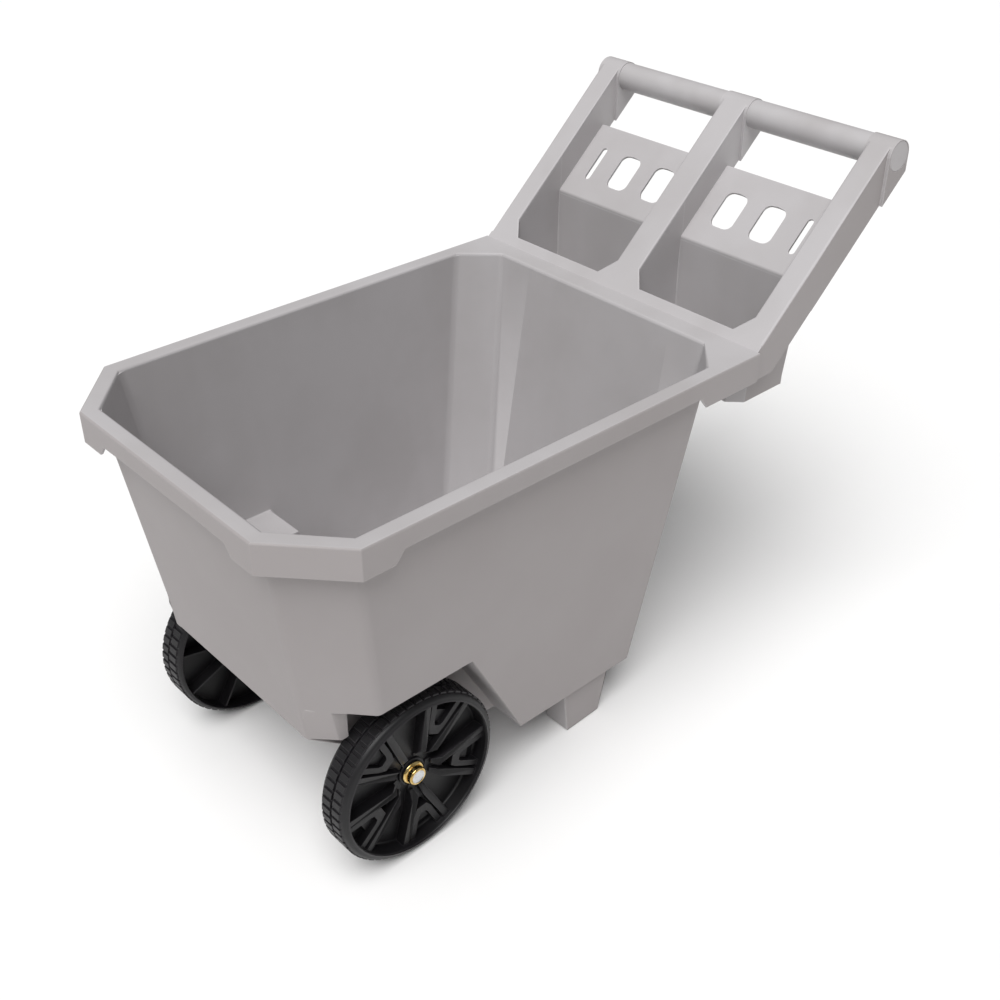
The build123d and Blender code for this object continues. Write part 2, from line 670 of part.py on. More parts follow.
CAP_FLANGE_R = 16.0
CAP_CROWN_R = 12.5
CAP_HEIGHT = 11.0
cap_base = HUB_OUTER + 1.8
for side, name in ((-1, "left"), (1, "right")):
    with BuildPart() as axle_cap:
        with BuildSketch(cart_slice(side * cap_base)):
            Circle(CAP_FLANGE_R)
        extrude(amount=side * 1.6)
        with BuildSketch(cart_slice(side * cap_base)):
            Circle(CAP_CROWN_R)
        extrude(amount=side * CAP_HEIGHT)
        fillet(axle_cap.faces().sort_by(Axis.X)[-1 if side > 0 else 0].edges(), 2.5)
        with BuildSketch(cart_slice(side * cap_base)):
            Circle(AXLE_R)
        extrude(amount=side * (AXLE_HALF - cap_base), mode=Mode.SUBTRACT)
    axle_cap.part.label = "axle_cap_" + name
    export_step(axle_cap.part, "parts/axle_cap_" + name + ".step")

# ---- screws that pin the grip tube in its sleeves, driven from below ----
with BuildPart() as grip_screws:
    for screw_x in SCREW_XS:
        with BuildSketch(screw_plane(screw_x)):
            Circle(SCREW_R)
        extrude(amount=SCREW_LENGTH)
        with BuildSketch(screw_plane(screw_x)):
            Circle(SCREW_HEAD_R)
            RegularPolygon(SCREW_R * 0.8, 6, mode=Mode.SUBTRACT)
        extrude(amount=-SCREW_HEAD_HEIGHT)
        with BuildSketch(screw_plane(screw_x)):
            Circle(SCREW_HEAD_R)
        extrude(amount=-SCREW_HEAD_HEIGHT / 3)
grip_screws.part.label = "grip_screws"
export_step(grip_screws.part, "parts/grip_screws.step")
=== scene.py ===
from math import cos, pi, radians, sin

import bmesh
import bpy
from mathutils import Matrix, Vector
from mathutils.bvhtree import BVHTree


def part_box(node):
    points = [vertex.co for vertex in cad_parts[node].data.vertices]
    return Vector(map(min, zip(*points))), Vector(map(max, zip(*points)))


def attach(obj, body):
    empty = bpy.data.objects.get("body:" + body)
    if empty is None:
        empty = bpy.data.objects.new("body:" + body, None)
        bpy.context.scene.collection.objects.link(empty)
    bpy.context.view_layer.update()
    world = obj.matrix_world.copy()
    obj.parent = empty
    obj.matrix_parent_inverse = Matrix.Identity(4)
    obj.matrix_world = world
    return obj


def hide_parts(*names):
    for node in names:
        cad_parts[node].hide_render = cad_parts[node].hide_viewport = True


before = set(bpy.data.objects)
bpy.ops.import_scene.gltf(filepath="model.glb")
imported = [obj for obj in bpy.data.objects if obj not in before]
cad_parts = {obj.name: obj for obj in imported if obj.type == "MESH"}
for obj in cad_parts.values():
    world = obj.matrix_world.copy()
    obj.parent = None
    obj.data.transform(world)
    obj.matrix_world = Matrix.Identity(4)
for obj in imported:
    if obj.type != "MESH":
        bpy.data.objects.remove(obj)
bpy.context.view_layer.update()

# ---- The grey moulding: tub, rolled rim, handle frame, tool pockets, tray panels and feet ----
# One moulding in matt, light warm-grey plastic. Its walls are a few millimetres thick, its
# edges are rounded by the mould, and faint flow marks run down the tub's tall walls.
MOULDED_NODES = (
    "tub",
    "rim_frame",
    "tool_pocket_left",
    "tool_pocket_right",
    "tray_panel_left",
    "tray_panel_right",
    "foot_left",
    "foot_right",
)
BROAD_ROUND = 0.008
ROUND_STEPS = 3
SHORTEST_ROUNDED = 0.004
SHALLOWEST_ROUNDED = radians(14)
JOIN_REACH = 0.0012            # closer to the next piece of the moulding, an edge stays square
SLEEVE_REACH = 0.075           # closer to the grip's axis, only the arms' top edges are rounded
RIM_TOP_SHARE = 0.42
RIM_FINE_SHARE = 0.14
PLAIN_SHARE = 0.25
SMALL_SHARE = 0.12

LEAN = radians(2.95)
MOULD_UP = Vector((0, sin(LEAN), cos(LEAN)))
SLOT_MIDDLES = (0.065, 0.129, 0.184)
ARM_CUTS = (0.215, 0.262, 0.310)
GRIP_CENTRE = (Vector(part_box("grip_tube")[0]) + Vector(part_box("grip_tube")[1])) / 2
AXLE_CENTRE = (Vector(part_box("axle")[0]) + Vector(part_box("axle")[1])) / 2
CUTS = [
    (Vector((x, 0, 0)), Vector((1, 0, 0)))
    for x in (*(-x for x in reversed(SLOT_MIDDLES)), 0, *SLOT_MIDDLES)
]
CUTS += [(GRIP_CENTRE, Vector((0, 1, 0))), (AXLE_CENTRE, Vector((0, 1, 0)))]
CUTS += [(Vector((0, y, 0)), Vector((0, 1, 0))) for y in ARM_CUTS]


def merged_copy(node, name):
    """A copy of a CAD node's mesh, its loose triangles joined and its flat faces made whole.
    A face with a hole can't be whole, so the cuts part it through its holes."""
    bm = bmesh.new()
    bm.from_mesh(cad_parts[node].data)
    bmesh.ops.remove_doubles(bm, verts=bm.verts, dist=0.00002)
    bmesh.ops.dissolve_degenerate(bm, edges=bm.edges, dist=0.00001)
    for place, direction in CUTS:
        parts = bm.verts[:] + bm.edges[:] + bm.faces[:]
        cut = bmesh.ops.bisect_plane(
            bm, geom=parts, dist=0.00001, plane_co=place, plane_no=direction
        )
        for item in cut["geom_cut"]:
            if isinstance(item, bmesh.types.BMEdge):
                item.seam = True
    bmesh.ops.dissolve_limit(
        bm, angle_limit=radians(0.6), verts=bm.verts, edges=bm.edges, delimit={"SEAM"}
    )
    mesh = bpy.data.meshes.new(name)
    bm.to_mesh(mesh)
    bm.free()
    copy = bpy.data.objects.new(name, mesh)
    bpy.context.scene.collection.objects.link(copy)
    return copy


def baked(piece):
    """Turns a piece's modifiers into plain mesh."""
    bpy.context.view_layer.update()
    evaluated = piece.evaluated_get(bpy.context.evaluated_depsgraph_get())
    mesh = bpy.data.meshes.new_from_object(evaluated)
    piece.modifiers.clear()
    piece.data = mesh


def smoothed(piece, angle=32):
    """Smooth shading that stays crisp where faces meet at more than an angle."""
    bm = bmesh.new()
    bm.from_mesh(piece.data)
    for face in bm.faces:
        face.smooth = True
    for edge in bm.edges:
        edge.smooth = not (len(edge.link_faces) == 2 and edge.calc_face_angle(0) > radians(angle))
    bm.to_mesh(piece.data)
    bm.free()
    weighted = piece.modifiers.new("weighted", "WEIGHTED_NORMAL")
    weighted.keep_sharp = True


def surface_of(node):
    """Search tree over a CAD node's surface."""
    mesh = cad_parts[node].data
    return BVHTree.FromPolygons([v.co for v in mesh.vertices], [p.vertices for p in mesh.polygons])


surfaces = {node: surface_of(node) for node in MOULDED_NODES}


def rounding(node, edge):
    """Share of the broad rounding that an edge of the moulding gets."""
    length = edge.calc_length()
    if len(edge.link_faces) != 2 or length < SHORTEST_ROUNDED:
        return 0
    turn = edge.calc_face_angle_signed(0)
    if abs(turn) < SHALLOWEST_ROUNDED:
        return 0
    middle = (edge.verts[0].co + edge.verts[1].co) / 2
    for other, tree in surfaces.items():
        if other != node and tree.find_nearest(middle, JOIN_REACH)[0] is not None:
            return 0
    first, second = (face.normal for face in edge.link_faces)
    if node == "rim_frame":
        top = max(first.dot(MOULD_UP), second.dot(MOULD_UP)) > 0.6
        by_sleeve = min((vert.co - GRIP_CENTRE).yz.length for vert in edge.verts) < SLEEVE_REACH
        if by_sleeve and (turn < 0 or not top or length < 0.06):
            return 0
        side = min(abs(first.dot(MOULD_UP)), abs(second.dot(MOULD_UP))) < 0.3
        if turn > 0 and top and side and length > 0.03:
            return RIM_TOP_SHARE
        return RIM_FINE_SHARE if length > 0.012 else 0
    if node == "tub":
        upright = abs((edge.verts[0].co - edge.verts[1].co).normalized().dot(MOULD_UP)) > 0.7
        if abs(turn) < radians(75) and upright and length > 0.15:
            return 1
        return PLAIN_SHARE if length > 0.02 else 0
    return PLAIN_SHARE if length > 0.02 else SMALL_SHARE


def rounded_moulding(node):
    """A moulded piece with its edges rounded, except where it runs on into the next."""
    piece = merged_copy(node, node + "_moulded")
    bm = bmesh.new()
    bm.from_mesh(piece.data)
    weight = bm.edges.layers.float.new("bevel_weight_edge")
    for edge in bm.edges:
        edge[weight] = rounding(node, edge)
    bm.to_mesh(piece.data)
    bm.free()
    bevel = piece.modifiers.new("rounded", "BEVEL")
    bevel.limit_method = "WEIGHT"
    bevel.width = BROAD_ROUND
    bevel.segments = ROUND_STEPS
    bevel.use_clamp_overlap = False
    bevel.miter_outer = "MITER_ARC"
    baked(piece)
    smoothed(piece)
    return piece


class Wire:
    """One socket of a material's node tree, for writing its maths as an expression."""

    def __init__(self, tree, socket):
        self.tree = tree
        self.socket = socket

    def node(self, kind, settings=None, **inputs):
        """Adds a node, sets it up, wires or fills its named inputs and returns it."""
        made = self.tree.nodes.new(kind)
        for key, value in (settings or {}).items():
            setattr(made, key, value)
        for key, value in inputs.items():
            place = int(key[2:]) if key.startswith("at") else key.replace("_", " ")
            socket = made.inputs[place]
            if isinstance(value, Wire):
                self.tree.links.new(value.socket, socket)
            else:
                socket.default_value = value
        return made

    def out(self, kind, output, settings=None, **inputs):
        """The same, returning one of the node's outputs."""
        return Wire(self.tree, self.node(kind, settings, **inputs).outputs[output])

    def math(self, operation, first, second=0.0):
        """A Math node on two values."""
        return self.out("ShaderNodeMath", 0, {"operation": operation}, at0=first, at1=second)

    def __add__(self, other):
        return self.math("ADD", self, other)

    def __mul__(self, other):
        return self.math("MULTIPLY", self, other)

    def __sub__(self, other):
        return self.math("SUBTRACT", self, other)

    def __rsub__(self, other):
        return self.math("SUBTRACT", other, self)

    __radd__ = __add__
    __rmul__ = __mul__

    def band(self, low, high):
        """0 below low, 1 above high, smooth between."""
        settings = {"interpolation_type": "SMOOTHSTEP"}
        return self.out("ShaderNodeMapRange", 0, settings, Value=self, From_Min=low, From_Max=high)

    def blend(self, first, second):
        """Colour that goes from the first to the second as this goes from 0 to 1."""
        return self.out("ShaderNodeMix", 2, {"data_type": "RGBA"}, at0=self, at6=first, at7=second)


def finish_of(name, metallic=0.0, coat=0.0, ior=1.46):
    """A new material: its first wire, carrying places on the object, and its shader."""
    material = bpy.data.materials.new(name)
    material.use_nodes = True
    tree = material.node_tree
    shader = tree.nodes["Principled BSDF"]
    shader.inputs["Metallic"].default_value = metallic
    shader.inputs["Coat Weight"].default_value = coat
    shader.inputs["IOR"].default_value = ior
    places = Wire(tree, tree.nodes.new("ShaderNodeTexCoord").outputs["Object"])
    return material, places, shader


def feed(shader, wire, name):
    """Drives one of the shader's inputs."""
    wire.tree.links.new(wire.socket, shader.inputs[name])


def noise(places, scale, detail=3.0, stretch=(1, 1, 1)):
    """Noise over the object, finer where the scale is larger."""
    mapped = places.out("ShaderNodeMapping", 0, None, Vector=places, Scale=stretch)
    return places.out(
        "ShaderNodeTexNoise", 0, None, Vector=mapped, Scale=scale, Detail=detail, Roughness=0.55
    )


def edge_wear_and_sheen(places, radius, softness):
    """1 on sharp outer edges and 0 on flat ground, from how far the rounded normal leans. It lightens the
    edges it marks: partly wear, partly a painted highlight along them.
    """
    rounded = places.out("ShaderNodeBevel", 0, {"samples": 4}, Radius=radius)
    flat = places.out("ShaderNodeNewGeometry", "Normal")
    dot = {"operation": "DOT_PRODUCT"}
    lean = places.out("ShaderNodeVectorMath", "Value", dot, at0=rounded, at1=flat)
    return (1.0 - lean).band(0.0, softness)


def bumped(shader, places, height, strength, distance):
    """Relief too fine for the mesh, from a height."""
    bump = places.out("ShaderNodeBump", 0, None, Height=height, Strength=strength, Distance=distance)
    feed(shader, bump, "Normal")


GREY = (0.455, 0.438, 0.444, 1)
GREY_SHADE = (0.405, 0.386, 0.388, 1)
GREY_WORN_AND_SHEEN = (0.53, 0.515, 0.52, 1)
# colour of the painted shade on the outer walls
GREY_OUTSIDE_PAINTED_SHADE = (0.325, 0.300, 0.298, 1)
TUB_MIDDLE = (Vector(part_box("tub")[0]) + Vector(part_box("tub")[1])) / 2

moulded_grey, places, shader = finish_of("moulded_grey_plastic")
clouds = noise(places, 5.0, 4.0)
flow_marks = noise(places, 7.0, 3.0, (1.0, 1.0, 0.12))
speckle = noise(places, 900.0, 2.0)
grain = noise(places, 1500.0, 3.0)
shade = clouds.band(0.38, 0.66) * 0.6 + flow_marks.band(0.42, 0.62) * 0.4
base = shade.blend(GREY, GREY_SHADE)
base = (speckle.band(0.62, 0.72) * 0.10).blend(base, GREY_WORN_AND_SHEEN)
wear_and_sheen = edge_wear_and_sheen(places, 0.0022, 0.10)
# painted highlight and wear: the grey is lightened along the rounded edges
base = (wear_and_sheen * (0.35 + clouds * 0.4)).blend(base, GREY_WORN_AND_SHEEN)
# painted shade: the outside of every wall is coloured darker than the inside, standing in for the shade
# that falls on the outer walls
normal = places.out("ShaderNodeNewGeometry", "Normal")
subtract, multiply, dot = ({"operation": word} for word in ("SUBTRACT", "MULTIPLY", "DOT_PRODUCT"))
from_middle = places.out("ShaderNodeVectorMath", 0, subtract, at0=places, at1=TUB_MIDDLE)
level = places.out("ShaderNodeVectorMath", 0, multiply, at0=from_middle, at1=(1, 1, 0))
outward = places.out("ShaderNodeVectorMath", "Value", dot, at0=normal, at1=level)
outside_painted_shade = outward.band(0.03, 0.16)
# painted shade laid over the outer walls
base = (outside_painted_shade * (0.75 + clouds * 0.3)).blend(base, GREY_OUTSIDE_PAINTED_SHADE)
# painted highlight and wear on the edges again, laid over the outer walls' painted shade
base = (wear_and_sheen * 0.3).blend(base, GREY_WORN_AND_SHEEN)
feed(shader, base, "Base Color")
feed(shader, 0.50 + clouds * 0.12 + outside_painted_shade * 0.08 - wear_and_sheen * 0.10 + speckle * 0.05, "Roughness")
bumped(shader, places, grain * 0.6 + flow_marks * 0.4, 0.22, 0.0006)

for node in MOULDED_NODES:
    piece = rounded_moulding(node)
    piece.data.materials.clear()
    piece.data.materials.append(moulded_grey)
    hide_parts(node)
    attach(piece, "cart")

# ---- The grip: a round tube through three sleeves, with a plug pressed into each end ----
# The tube and its plugs are the same grey plastic as the moulding, a little smoother where
# hands hold them, and screws from below pin the tube in its sleeves.
GRIP_GREY = (0.47, 0.455, 0.462, 1)

grip_grey, places, shader = finish_of("grip_grey_plastic")
clouds = noise(places, 9.0, 3.0)
rings = noise(places, 60.0, 3.0, (0.08, 1.0, 1.0))
grain = noise(places, 1300.0, 3.0)
base = clouds.band(0.35, 0.7).blend(GRIP_GREY, GREY_SHADE)
# painted highlight and wear: the grip's edges are lightened
base = (edge_wear_and_sheen(places, 0.0015, 0.12) * 0.5).blend(base, GREY_WORN_AND_SHEEN)
feed(shader, base, "Base Color")
feed(shader, 0.42 + clouds * 0.14 + rings * 0.05, "Roughness")
bumped(shader, places, grain * 0.6 + rings * 0.4, 0.18, 0.0005)

for node in ("grip_tube", "grip_plug_left", "grip_plug_right"):
    piece = merged_copy(node, node + "_turned")
    bevel = piece.modifiers.new("rounded", "BEVEL")
    bevel.limit_method = "ANGLE"
    bevel.angle_limit = radians(50)
    bevel.width = 0.0007
    bevel.segments = 2
    baked(piece)
    smoothed(piece)
    piece.data.materials.clear()
    piece.data.materials.append(grip_grey)
    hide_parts(node)
    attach(piece, "cart")

# ---- The axle and its plain hardware ----
# A zinc-plated steel rod with turned washers, and steel screws under the grip. Fine rings
# from the lathe and a few dull patches break up the bright plating.
STEEL = (0.60, 0.60, 0.62, 1)
STEEL_DULL = (0.40, 0.40, 0.41, 1)

plated_steel, places, shader = finish_of("plated_steel", metallic=1.0)
patches = noise(places, 40.0, 4.0)
turning = noise(places, 350.0, 2.0, (1.0, 0.1, 0.1))
feed(shader, patches.band(0.4, 0.65).blend(STEEL, STEEL_DULL), "Base Color")
feed(shader, 0.26 + patches * 0.2 + turning * 0.1, "Roughness")
bumped(shader, places, turning, 0.25, 0.0003)

for node in (
    "axle",
    "inner_washer_left",
    "inner_washer_right",
    "outer_washer_left",
    "outer_washer_right",
    "grip_screws",
):
    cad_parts[node].data.materials.clear()
    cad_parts[node].data.materials.append(plated_steel)

# ---- Spacers and hub bushes ----
# Plain black tubes of slippery plastic, cut from stock: the spacers hold each wheel clear
# of the tub's ribs and the bushes are pressed into the hubs.
BUSH_BLACK = (0.018, 0.018, 0.020, 1)
BUSH_SCUFF = (0.06, 0.06, 0.062, 1)

bush_black, places, shader = finish_of("bush_black_plastic")
scuffs = noise(places, 120.0, 4.0)
feed(shader, scuffs.band(0.55, 0.75).blend(BUSH_BLACK, BUSH_SCUFF), "Base Color")
feed(shader, 0.38 + scuffs * 0.2, "Roughness")
bumped(shader, places, scuffs, 0.15, 0.0004)

for node in ("axle_spacer_left", "axle_spacer_right", "hub_bush_left", "hub_bush_right"):
    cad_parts[node].data.materials.clear()
    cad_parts[node].data.materials.append(bush_black)

# ---- The wheels: one moulding each in near-black plastic ----
# A broad band with a two-row block tread, a raised lip, a recessed disc, forked spokes with
# a stepped chevron nested in each fork, and a plain hub. Satin, with a fine moulded grain.
WHEEL_BLACK = (0.0042, 0.0038, 0.0046, 1)
WHEEL_SHEEN = (0.0095, 0.0088, 0.0105, 1)
WHEEL_SCUFF_AND_SHEEN = (0.034, 0.031, 0.035, 1)

wheel_black, places, shader = finish_of("wheel_black_plastic", coat=0.06, ior=1.4)
shader.inputs["Coat Roughness"].default_value = 0.35
clouds = noise(places, 14.0, 4.0)
scuffs = noise(places, 220.0, 4.0, (1.0, 0.5, 1.0))
grain = noise(places, 1600.0, 2.0)
wear_and_sheen = edge_wear_and_sheen(places, 0.0016, 0.14)
base = (clouds.band(0.4, 0.7) * 0.5).blend(WHEEL_BLACK, WHEEL_SHEEN)
# painted sheen and scuffs: the wheel's edges are lightened
base = (wear_and_sheen * (0.25 + scuffs * 0.5)).blend(base, WHEEL_SCUFF_AND_SHEEN)
feed(shader, base, "Base Color")
feed(shader, 0.36 + clouds * 0.12 + scuffs * 0.10 - wear_and_sheen * 0.08, "Roughness")
bumped(shader, places, grain * 0.5 + scuffs * 0.5, 0.2, 0.0005)

WHEEL_R = 0.117
WHEEL_INNER = 0.1550           # inner face, from the cart's middle
TREAD_DEPTH = 0.0020
DISC_OUTER = 0.1799            # where the spokes stand on the disc
DISC_INNER = 0.1760
SPOKE_HEIGHT = 0.0150
BACK_RIB_HEIGHT = 0.0170
BACK_RIB = [(0.0185, -0.0014), (0.0185, 0.0014), (0.1090, 0.0014), (0.1090, -0.0014)]
SPOKE_PHASE = radians(-87)
GROUPS = 5
BLOCKS = 58
BLOCK_GAP = 0.0034
NEAR_ROW = (0.0143, 0.0150)    # middle of the row, from the wheel's face, and its width
FAR_ROW = (0.0148, 0.0165)


def turned(profile, name, steps=144):
    """A closed ring turned about the axle from a closed outline of (x, radius) points."""
    bm = bmesh.new()
    rings = []
    for step in range(steps):
        angle = 2 * pi * step / steps
        rings.append([
            bm.verts.new((x, AXLE_CENTRE.y + r * cos(angle), AXLE_CENTRE.z + r * sin(angle)))
            for x, r in profile
        ])
    count = len(profile)
    for step in range(steps):
        here, after = rings[step], rings[(step + 1) % steps]
        for k in range(count):
            bm.faces.new((here[k], here[(k + 1) % count], after[(k + 1) % count], after[k]))
    bmesh.ops.recalc_face_normals(bm, faces=bm.faces)
    mesh = bpy.data.meshes.new(name)
    bm.to_mesh(mesh)
    bm.free()
    piece = bpy.data.objects.new(name, mesh)
    bpy.context.scene.collection.objects.link(piece)
    return piece


def arc(centre_x, centre_r, radius, start, end, steps=5):
    """Points of a rounded corner in a turned outline; angles in degrees from +x to +radius."""
    return [
        (centre_x + radius * cos(radians(start + (end - start) * k / steps)),
         centre_r + radius * sin(radians(start + (end - start) * k / steps)))
        for k in range(steps + 1)
    ]


def wheel_outline(outer, inner, side):
    """Section of a wheel between its outer and inner faces, both distances from the middle."""
    base_r = WHEEL_R - TREAD_DEPTH
    points = [(0.1521, 0.0086), (0.1838, 0.0086)]
    points += arc(0.1828, 0.0180, 0.0010, 0, 90, 3)
    points += [(0.1802, 0.0190), (0.1800, 0.0205), (0.1800, 0.1020)]
    points += arc(0.1830, 0.1015, 0.0030, 160, 90, 3)
    points += [(outer - 0.0042, 0.1046), (outer - 0.0030, 0.1052)]
    points += arc(outer - 0.0012, 0.1058, 0.0012, 200, 20, 5)
    points += [(outer - 0.0010, 0.1082)]
    points += arc(outer - 0.0088, base_r - 0.0072, 0.0074, 8, 90, 6)
    points += [(outer - 0.0222, base_r), (outer - 0.0228, base_r - 0.0012)]
    points += [(outer - 0.0246, base_r - 0.0012), (outer - 0.0252, base_r)]
    points += arc(inner + 0.0070, base_r - 0.0060, 0.0060, 90, 172, 5)
    points += [(inner, 0.1098), (inner + 0.0010, 0.1090), (0.1758, 0.1086), (0.1758, 0.0205)]
    points += [(0.1750, 0.0190), (0.1525, 0.0190), (0.1521, 0.0186)]
    return [(x * side, r) for x, r in points]


def raised(outlines, height, name, side, base_x):
    """Flat shapes on the disc, drawn as (radius, offset) outlines, raised with rounded tops."""
    bm = bmesh.new()
    for outline, top in outlines:
        low = [bm.verts.new((0, r, offset)) for r, offset in outline]
        face = bm.faces.new(low)
        grown = bmesh.ops.extrude_face_region(bm, geom=[face])
        tops = [item for item in grown["geom"] if isinstance(item, bmesh.types.BMVert)]
        for vert in tops:
            lowered = top > 0 and vert.co.y < HUB_EDGE_R
            vert.co.x = side * top * height * (HUB_EDGE_SHARE if lowered else 1.0)
    bmesh.ops.recalc_face_normals(bm, faces=bm.faces)
    crest = [edge for edge in bm.edges if all(abs(vert.co.x) > 0.0001 for vert in edge.verts)]
    bmesh.ops.bevel(bm, geom=crest, offset=0.0007, segments=2, affect="EDGES", profile=0.6)
    for vert in bm.verts:
        vert.co.x += base_x
    mesh = bpy.data.meshes.new(name)
    bm.to_mesh(mesh)
    bm.free()
    piece = bpy.data.objects.new(name, mesh)
    bpy.context.scene.collection.objects.link(piece)
    return piece


def copies_round_axle(name):
    """Node tree that repeats its mesh evenly round the axle, starting from a phase."""
    tree = bpy.data.node_groups.new(name, "GeometryNodeTree")
    tree.interface.new_socket("Geometry", in_out="INPUT", socket_type="NodeSocketGeometry")
    tree.interface.new_socket("Count", in_out="INPUT", socket_type="NodeSocketInt")
    tree.interface.new_socket("Phase", in_out="INPUT", socket_type="NodeSocketFloat")
    tree.interface.new_socket("Centre", in_out="INPUT", socket_type="NodeSocketVector")
    tree.interface.new_socket("Finish", in_out="INPUT", socket_type="NodeSocketMaterial")
    tree.interface.new_socket("Geometry", in_out="OUTPUT", socket_type="NodeSocketGeometry")
    nodes, links = tree.nodes, tree.links
    start = nodes.new("NodeGroupInput")
    points = nodes.new("GeometryNodePoints")
    index = nodes.new("GeometryNodeInputIndex")
    turn = nodes.new("ShaderNodeMath")
    turn.operation = "DIVIDE"
    turn.inputs[0].default_value = 2 * pi
    angle = nodes.new("ShaderNodeMath")
    angle.operation = "MULTIPLY_ADD"
    spin = nodes.new("ShaderNodeCombineXYZ")
    instances = nodes.new("GeometryNodeInstanceOnPoints")
    real = nodes.new("GeometryNodeRealizeInstances")
    finish = nodes.new("GeometryNodeSetMaterial")
    end = nodes.new("NodeGroupOutput")
    links.new(start.outputs["Count"], points.inputs["Count"])
    links.new(start.outputs["Centre"], points.inputs["Position"])
    links.new(start.outputs["Count"], turn.inputs[1])
    links.new(index.outputs[0], angle.inputs[0])
    links.new(turn.outputs[0], angle.inputs[1])
    links.new(start.outputs["Phase"], angle.inputs[2])
    links.new(angle.outputs[0], spin.inputs["X"])
    links.new(points.outputs[0], instances.inputs["Points"])
    links.new(start.outputs["Geometry"], instances.inputs["Instance"])
    links.new(spin.outputs[0], instances.inputs["Rotation"])
    links.new(instances.outputs[0], real.inputs[0])
    links.new(real.outputs[0], finish.inputs["Geometry"])
    links.new(start.outputs["Finish"], finish.inputs["Material"])
    links.new(finish.outputs[0], end.inputs[0])
    return tree


round_axle = copies_round_axle("copies_round_axle")


def repeated(piece, count, phase, material):
    """Repeats a piece round the axle and leaves one plain mesh."""
    modifier = piece.modifiers.new("copies", "NODES")
    modifier.node_group = round_axle
    centre = (0.0, AXLE_CENTRE.y, AXLE_CENTRE.z)
    values = {"Count": count, "Phase": phase, "Centre": centre, "Finish": material}
    for item in round_axle.interface.items_tree:
        if item.in_out == "INPUT" and item.name in values:
            modifier[item.identifier] = values[item.name]
    baked(piece)


FORK_RIB = [
    (0.0260, 0.0036), (0.0260, 0.0098), (0.0360, 0.0140), (0.1040, 0.0400), (0.1040, 0.0300),
    (0.0440, 0.0068), (0.0330, 0.0030),
]
CROTCH = [
    (0.0205, -0.0080), (0.0390, -0.0120), (0.0490, -0.0085), (0.0490, 0.0085), (0.0390, 0.0120),
    (0.0205, 0.0080),
]
CHEVRON = [
    (0.0565, -0.0078), (0.0565, 0.0078), (0.0660, 0.0132), (0.1040, 0.0262), (0.1040, 0.0175),
    (0.0730, 0.0074), (0.0690, 0.0044), (0.0690, -0.0044), (0.0730, -0.0074), (0.1040, -0.0175),
    (0.1040, -0.0262), (0.0660, -0.0132),
]
STEP = [
    (0.0700, -0.0066), (0.0700, 0.0066), (0.0740, 0.0074), (0.0870, 0.0112), (0.0870, -0.0112),
    (0.0740, -0.0074),
]
HUB_EDGE_R = 0.0270            # closer to the hub, a spoke's top is lowered to a share
HUB_EDGE_SHARE = 0.4


def mirrored_outline(outline):
    """The same outline on the other side of the spoke group's axis."""
    return [(r, -offset) for r, offset in reversed(outline)]


def tread_block(side, row_x, width):
    """One block of the tread, at the top of the wheel, before it is repeated round it."""
    pitch = 2 * pi * WHEEL_R / BLOCKS
    bm = bmesh.new()
    bmesh.ops.create_cube(bm, size=1.0)
    for vert in bm.verts:
        lift = vert.co.z > 0
        vert.co.x = side * (row_x + vert.co.x * (width - (0.0010 if lift else 0)))
        vert.co.y = vert.co.y * (pitch - BLOCK_GAP - (0.0008 if lift else 0))
        vert.co.z = WHEEL_R - 0.00005 if lift else WHEEL_R - TREAD_DEPTH - 0.0012
    bmesh.ops.recalc_face_normals(bm, faces=bm.faces)
    crest = [edge for edge in bm.edges if all(vert.co.z > WHEEL_R - 0.001 for vert in edge.verts)]
    bmesh.ops.bevel(bm, geom=crest, offset=0.0005, segments=1, affect="EDGES")
    mesh = bpy.data.meshes.new("tread_block")
    bm.to_mesh(mesh)
    bm.free()
    piece = bpy.data.objects.new("tread_block", mesh)
    bpy.context.scene.collection.objects.link(piece)
    return piece


def joined(pieces, name):
    """Several plain meshes as one piece."""
    bm = bmesh.new()
    for piece in pieces:
        bm.from_mesh(piece.data)
        bpy.data.objects.remove(piece)
    mesh = bpy.data.meshes.new(name)
    bm.to_mesh(mesh)
    bm.free()
    whole = bpy.data.objects.new(name, mesh)
    bpy.context.scene.collection.objects.link(whole)
    return whole


for side, name in ((-1, "left"), (1, "right")):
    low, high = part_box("wheel_" + name)
    outer = max(abs(low[0]), abs(high[0]))
    rim = turned(wheel_outline(outer, WHEEL_INNER, side), "wheel_body_" + name)
    spokes = raised(
        [(FORK_RIB, 1.0), (mirrored_outline(FORK_RIB), 1.0), (CROTCH, 0.36), (CHEVRON, 0.86), (STEP, 0.45)],
        SPOKE_HEIGHT, "spokes_" + name, side, side * DISC_OUTER,
    )
    repeated(spokes, GROUPS, SPOKE_PHASE, wheel_black)
    back_ribs = raised(
        [(BACK_RIB, -1.0)], BACK_RIB_HEIGHT, "back_ribs_" + name, side, side * DISC_INNER
    )
    repeated(back_ribs, 2 * GROUPS, SPOKE_PHASE, wheel_black)
    near_block = tread_block(side, outer - NEAR_ROW[0], NEAR_ROW[1])
    repeated(near_block, BLOCKS, 0.0, wheel_black)
    far_block = tread_block(side, WHEEL_INNER + FAR_ROW[0], FAR_ROW[1])
    repeated(far_block, BLOCKS, pi / BLOCKS, wheel_black)
    wheel = joined([rim, spokes, back_ribs, near_block, far_block], "wheel_" + name + "_moulded")
    smoothed(wheel, 28)
    wheel.data.materials.clear()
    wheel.data.materials.append(wheel_black)
    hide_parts("wheel_" + name)
    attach(wheel, "wheel_" + name)

